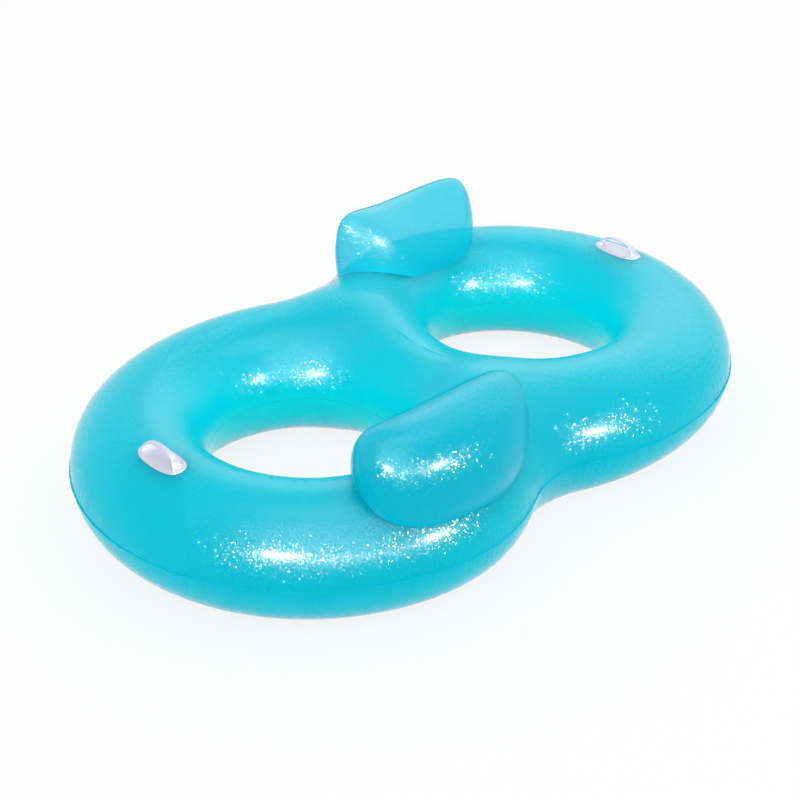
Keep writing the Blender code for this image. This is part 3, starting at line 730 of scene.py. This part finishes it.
def make_backrest(end, vinyl, weld_vinyl):
    """A closed pillow: back, weld and front over the top, and a sole on the tube."""
    rest = RESTS[end]
    share = rest.columns(REST_COLUMNS)
    turn = rest.seam_turn(share)
    step = FLANGE_HALF / REST_HALF_HEIGHT
    back_foot, front_foot = rest.base(share, True), rest.base(share, False)
    back, back_pull = pillow_side(rest, share, back_foot, turn - step, rest.seed)
    front, front_pull = pillow_side(rest, share, math.pi - front_foot, turn + step,
                                    rest.seed + 1)
    sole = pillow_sole(back, front, np.minimum(back_foot, front_foot) > REST_HANGING)
    edges = weld_edges(rest, share, turn, step)
    loop = np.concatenate([back, *edges, front[:, ::-1], sole], 1)
    rows, columns = loop.shape[:2]
    faces = tube_faces(rows, columns)
    slots = [int(REST_ROWS - 1 <= k % columns <= REST_ROWS + 1) for k in range(len(faces) - 2)]
    pillow = make_mesh(f"backrest_{end}_pillow", loop.reshape(-1, 3), faces,
                       [vinyl, weld_vinyl], slots + [0, 0])
    pulled = np.concatenate([back_pull, np.zeros((rows, len(edges))), front_pull[:, ::-1],
                             np.zeros(sole.shape[:2])], 1)
    tidy_mesh(pillow, join=False)
    displace(pillow, pulled.reshape(-1))
    tidy_mesh(pillow)
    pillow.data.set_sharp_from_angle(angle=SHARP_ANGLE)
    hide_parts(f"backrest_{end}_front_panel", f"backrest_{end}_back_panel")
    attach(pillow, "ring")


# Handles

def handle_place(along, across, handle):
    """Plan place of a handle point: along the tube, and across it, outwards."""
    turn, shift = handle
    across = across + shift
    cos, sin = math.cos(HANDLE_ANGLE), math.sin(HANDLE_ANGLE)
    x = -END_CENTRE + HANDLE_RADIUS * cos + across * cos - along * sin
    y = HANDLE_RADIUS * sin + across * sin + along * cos
    flip = round(math.cos(turn))
    return x * flip, y * flip


def handle_foot(handle, around=96):
    """Points and faces of the oval foot: a skirt in the vinyl, a round rim and a tray."""
    inner = 1 - HANDLE_RIM / HANDLE_HALF_WIDTH
    rings = list(HANDLE_SKIRT)
    for step in range(HANDLE_RIM_STEPS + 1):
        angle = math.pi / 2 * step / HANDLE_RIM_STEPS
        rings.append((inner + (1 - inner) * math.cos(angle), HANDLE_FOOT * math.sin(angle)))
    rings += [(share, HANDLE_FOOT * lift) for share, lift in HANDLE_STEP]
    rings += [(share, HANDLE_FOOT * HANDLE_TRAY) for share in HANDLE_TRAY_RINGS]
    angles = 2 * math.pi * np.arange(around) / around
    cos, sin = np.cos(angles), np.sin(angles)
    reach = reach_at(cos, sin, HANDLE_CORNER_POWER)
    verts = []
    for share, lift in rings:
        x, y = handle_place(HANDLE_HALF_LENGTH * cos * reach * share,
                            HANDLE_HALF_WIDTH * sin * reach * share, handle)
        verts.append(np.stack([x, y, crown(x, y) + lift], -1))
    faces = grid_faces(len(rings), around)
    faces.append(tuple(range(around))[::-1])
    x, y = handle_place(0.0, 0.0, handle)
    last = (len(rings) - 1) * around
    middle = [[x, y, crown(x, y) + HANDLE_FOOT * HANDLE_TRAY]]
    verts = np.concatenate(verts + [np.array(middle)])
    faces += [(last + i, last + (i + 1) % around, len(verts) - 1) for i in range(around)]
    return verts, faces


def handle_grip(handle, stations=72, around=28):
    """Points and faces of the arched grip, which flares where it grows out of the foot."""
    base = float(crown(*handle_place(0.0, 0.0, handle)))
    verts = []
    for k in range(stations + 1):
        angle = math.pi * k / stations
        to_end = abs(math.cos(angle))
        along = -GRIP_HALF_SPAN * math.cos(angle)
        rise = (GRIP_RISE * math.sin(angle) ** GRIP_ARCH_POWER
                - GRIP_ROOT * to_end ** GRIP_ROOT_POWER)
        ahead = Vector((GRIP_HALF_SPAN * math.sin(angle) + TINY,
                        GRIP_RISE * GRIP_ARCH_POWER * math.cos(angle))).normalized()
        flare = to_end ** GRIP_FLARE_POWER
        half_width = GRIP_HALF_WIDTH * (1 + GRIP_FLARE_RATIO * flare)
        half_height = GRIP_HALF_HEIGHT * (1 + GRIP_THICKER_RATIO * flare)
        turns = 2 * math.pi * np.arange(around) / around
        cos, sin = np.cos(turns), np.sin(turns)
        reach = reach_at(cos, sin, GRIP_EDGE_POWER)
        lift = half_height * sin * reach
        x, y = handle_place(along - lift * ahead.y, half_width * cos * reach, handle)
        verts.append(np.stack([x, y, base + rise + lift * ahead.x], -1))
    return np.concatenate(verts), tube_faces(stations + 1, around)


def make_handle(node, handle, material):
    """One moulding: its foot, which stands for the part's handle, and its grip."""
    foot = make_mesh(f"{node}_moulding", *handle_foot(handle), [material])
    grip = make_mesh(f"{node}_moulding_grip", *handle_grip(handle), [material])
    for piece in (foot, grip):
        tidy_mesh(piece)
        piece.data.set_sharp_from_angle(angle=HANDLE_SHARP_ANGLE)
        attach(piece, "ring")
    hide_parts(node)


# Valves

def make_tether(side, material, stations=24, around=20):
    """The soft strap from a valve's stem to its plug, bowed out, with rounded edges."""
    place = valve_frame(side)
    verts = []
    for k in range(stations + 1):
        share = k / stations
        out = (TETHER_START[0] + (TETHER_END[0] - TETHER_START[0]) * share
               + TETHER_BULGE * math.sin(math.pi * share) + TETHER_THICKNESS / 2)
        up = TETHER_START[1] + (TETHER_END[1] - TETHER_START[1]) * share
        for j in range(around):
            turn = 2 * math.pi * j / around
            cos, sin = math.cos(turn), math.sin(turn)
            reach = reach_at(cos, sin, TETHER_EDGE_POWER)
            verts.append(place @ Vector((out + TETHER_THICKNESS / 2 * cos * reach,
                                         TETHER_WIDTH / 2 * sin * reach, up)))
    tether = make_mesh(f"valve_tether_{side}_strap", verts, tube_faces(stations + 1, around),
                       [material])
    tidy_mesh(tether)
    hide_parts(f"valve_tether_{side}")
    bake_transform(tether)


def dress(node, material):
    """Gives a part of the model its material."""
    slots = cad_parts[node].data.materials
    slots.clear()
    slots.append(material)


# Materials

def fill(tree, node, values):
    """Gives a node's inputs their values: another node's output, or a constant."""
    for socket, value in values.items():
        if isinstance(value, bpy.types.NodeSocket):
            tree.links.new(value, node.inputs[socket])
        else:
            node.inputs[socket].default_value = value


def add_node(tree, kind, values=None, operation=None):
    """A new node with its inputs filled in."""
    node = tree.nodes.new(kind)
    if operation:
        node.operation = operation
    fill(tree, node, values or {})
    return node


def mix_colours(tree, share, first, second):
    """The colour between two colours, at a share that another node works out."""
    mix = tree.nodes.new("ShaderNodeMix")
    mix.data_type = 'RGBA'
    fill(tree, mix, {"Factor": share, "A": (*first, 1), "B": (*second, 1)})
    return mix.outputs["Result"]


def new_material(name):
    material = bpy.data.materials.new(name)
    material.use_nodes = True
    tree = material.node_tree
    return material, tree, tree.nodes["Principled BSDF"]


def glitter_normal(tree):
    """A surface normal that tips a little, a different way in each tiny cell."""
    place = add_node(tree, "ShaderNodeTexCoord")
    cells = add_node(tree, "ShaderNodeTexVoronoi", {
        "Scale": 1 / GLITTER_CELL, "Vector": place.outputs["Object"]})
    centred = add_node(tree, "ShaderNodeVectorMath", {
        0: cells.outputs["Color"], 1: (0.5, 0.5, 0.5)}, 'SUBTRACT')
    way = centred.outputs["Vector"]
    size = add_node(tree, "ShaderNodeVectorMath", {0: way}, 'LENGTH')
    rare = add_node(tree, "ShaderNodeMath", {
        0: size.outputs["Value"], 1: GLITTER_POWER}, 'POWER')
    amount = add_node(tree, "ShaderNodeMath", {0: rare.outputs[0], 1: GLITTER_TILT}, 'MULTIPLY')
    tipped = add_node(tree, "ShaderNodeVectorMath", {0: way, "Scale": amount.outputs[0]},
                      'SCALE')
    surface = add_node(tree, "ShaderNodeNewGeometry")
    added = add_node(tree, "ShaderNodeVectorMath", {
        0: surface.outputs["Normal"], 1: tipped.outputs["Vector"]}, 'ADD')
    unit = add_node(tree, "ShaderNodeVectorMath", {0: added.outputs["Vector"]}, 'NORMALIZE')
    return unit.outputs["Vector"]


def painted_light_colour(tree, colour, painted_light):
    """The vinyl's colour, painted paler where light comes through it: painted light."""
    share = add_node(tree, "ShaderNodeAttribute")
    share.attribute_name = "painted_light"
    return mix_colours(tree, share.outputs["Fac"], colour, painted_light)


def vinyl(name, colour, alpha=1.0, painted_light=None):
    """Tinted vinyl with glitter in it. Where nothing shows through, light spreads in it. A
    second colour, if given, is painted light: the colour is painted paler where the mesh's
    painted light layer says.
    """
    material, tree, shader = new_material(name)
    fill(tree, shader, {
        "Base Color": painted_light_colour(tree, colour, painted_light) if painted_light else (*colour, 1),
        "Roughness": VINYL_ROUGHNESS, "IOR": VINYL_IOR, "Alpha": alpha,
        "Coat Weight": 1.0, "Coat Roughness": COAT_ROUGHNESS, "Coat IOR": COAT_IOR,
        "Normal": glitter_normal(tree)})
    if alpha == 1.0:
        fill(tree, shader, {"Subsurface Weight": 1.0, "Subsurface Radius": VINYL_DEPTH,
                            "Subsurface Scale": 1.0})
    return material


def matt(name, colour):
    """Welded vinyl and film without gloss."""
    material, tree, shader = new_material(name)
    fill(tree, shader, {"Base Color": (*colour, 1), "Roughness": MATT_ROUGHNESS,
                        "Specular IOR Level": MATT_SPECULAR})
    return material


def moulded(name, colour):
    """Milky soft PVC, a little cloudy, with the fine grain of its mould."""
    material, tree, shader = new_material(name)
    place = add_node(tree, "ShaderNodeTexCoord").outputs["Object"]
    cloud = add_node(tree, "ShaderNodeTexNoise", {"Scale": CLOUD_SCALE, "Vector": place})
    grain = add_node(tree, "ShaderNodeTexNoise", {"Scale": GRAIN_SCALE, "Vector": place})
    bump = add_node(tree, "ShaderNodeBump", {
        "Strength": GRAIN_STRENGTH, "Distance": GRAIN_DEPTH, "Height": grain.outputs["Fac"]})
    dark, pale = ([share * c for c in colour] for share in (CLOUD_DARK, CLOUD_PALE))
    fill(tree, shader, {
        "Base Color": mix_colours(tree, cloud.outputs["Fac"], dark, pale),
        "Normal": bump.outputs["Normal"], "Roughness": PVC_ROUGHNESS,
        "Subsurface Weight": PVC_SUBSURFACE, "Subsurface Radius": PVC_DEPTH,
        "Subsurface Scale": 1.0})
    return material


# Floor, light and camera

def background_share(tree):
    """1 for rays from the camera and through or off glossy things, 0 for diffuse light."""
    path = add_node(tree, "ShaderNodeLightPath")
    share = path.outputs["Is Camera Ray"]
    for kind in ("Is Glossy Ray", "Is Transmission Ray"):
        either = add_node(tree, "ShaderNodeMath", {0: share, 1: path.outputs[kind]}, 'MAXIMUM')
        share = either.outputs[0]
    return share


def make_floor():
    """A white floor, nearly plain white to all but diffuse light, so its shadow stays pale."""
    material, tree, shader = new_material("floor_white")
    fill(tree, shader, {"Base Color": (*FLOOR_WHITE, 1), "Roughness": 1.0,
                        "Specular IOR Level": 0.0})
    share = add_node(tree, "ShaderNodeMath", {
        0: background_share(tree), 1: FLOOR_WHITE_SHARE}, 'MULTIPLY')
    white = add_node(tree, "ShaderNodeEmission")
    mix = add_node(tree, "ShaderNodeMixShader", {
        0: share.outputs[0], 1: shader.outputs[0], 2: white.outputs[0]})
    fill(tree, tree.nodes["Material Output"], {"Surface": mix.outputs[0]})
    ways = ((-1, -1), (1, -1), (1, 1), (-1, 1))
    corners = [(x * FLOOR_HALF, y * FLOOR_HALF, 0) for x, y in ways]
    make_mesh("floor", corners, [(0, 1, 2, 3)], [material], smooth=False)


def make_world():
    """Even light from all round, which the camera and glossy things see as white."""
    world = bpy.data.worlds.new("studio")
    bpy.context.scene.world = world
    world.use_nodes = True
    tree = world.node_tree
    tree.nodes.clear()
    light, white = (add_node(tree, "ShaderNodeBackground", {
        "Color": (1, 1, 1, 1), "Strength": strength}) for strength in (AMBIENT, 1.0))
    mix = add_node(tree, "ShaderNodeMixShader", {
        0: background_share(tree), 1: light.outputs[0], 2: white.outputs[0]})
    add_node(tree, "ShaderNodeOutputWorld", {"Surface": mix.outputs[0]})


def aim(obj, target, azimuth, elevation, distance):
    """Places an object round a target, and turns it to face the target.

    The azimuth runs from +X towards +Y and the elevation up from the floor, both in degrees.
    """
    azimuth, elevation = math.radians(azimuth), math.radians(elevation)
    way = Vector((math.cos(azimuth) * math.cos(elevation),
                  math.sin(azimuth) * math.cos(elevation), math.sin(elevation)))
    obj.location = target + way * distance
    obj.rotation_euler = way.to_track_quat('Z', 'Y').to_euler()


def softbox(name, azimuth, elevation, distance, width, height, radiance, diffuse):
    """A lamp that faces the ring; one without diffuse light only shows as a sheen on it."""
    lamp = bpy.data.lights.new(name, 'AREA')
    lamp.shape = 'RECTANGLE'
    lamp.size, lamp.size_y = width, height
    lamp.energy = radiance * math.pi * width * height
    obj = add_object(name, lamp)
    aim(obj, LIGHT_TARGET, azimuth, elevation, distance)
    obj.visible_camera = False
    obj.visible_diffuse = diffuse


def make_camera():
    data = bpy.data.cameras.new("camera")
    data.lens = CAMERA_LENS
    data.sensor_width = CAMERA_SENSOR
    camera = add_object("camera", data)
    aim(camera, CAMERA_TARGET, CAMERA_AZIMUTH, CAMERA_ELEVATION, CAMERA_DISTANCE)
    bpy.context.scene.camera = camera


def main():
    bpy.context.scene.view_settings.view_transform = 'Standard'
    make_camera()
    make_floor()
    make_world()
    for lamp in LAMPS:
        softbox(*lamp)

    # The ring's colour has painted light in it: paler beside the seat holes
    ring_vinyl = vinyl("ring_vinyl_tinted", TURQUOISE, painted_light=TURQUOISE_PAINTED_LIGHT)
    weld = matt("weld_vinyl", WELD_TURQUOISE)
    # Each pillow gets its own copy of the vinyl, the far one's colour painted paler as painted
    # light
    rest_vinyls = {end: vinyl(f"backrest_{end}_vinyl", RESTS_PAINTED_LIGHT_TURQUOISE[end], RESTS_ALPHA[end])
                   for end in RESTS}
    handle_milky = moulded("handle_milky", HANDLE_MILKY)
    valve_milky = moulded("valve_milky", VALVE_MILKY)

    make_ring(ring_vinyl, weld)
    for end in RESTS:
        make_backrest(end, rest_vinyls[end], weld)
    for end, handle in HANDLES.items():
        make_handle(f"handle_{end}", handle, handle_milky)
    dress("chamber_divider", matt("divider_film", TURQUOISE))
    for side in VALVES:
        make_tether(side, valve_milky)
        for part in VALVE_PARTS:
            dress(f"valve_{part}_{side}", valve_milky)


main()
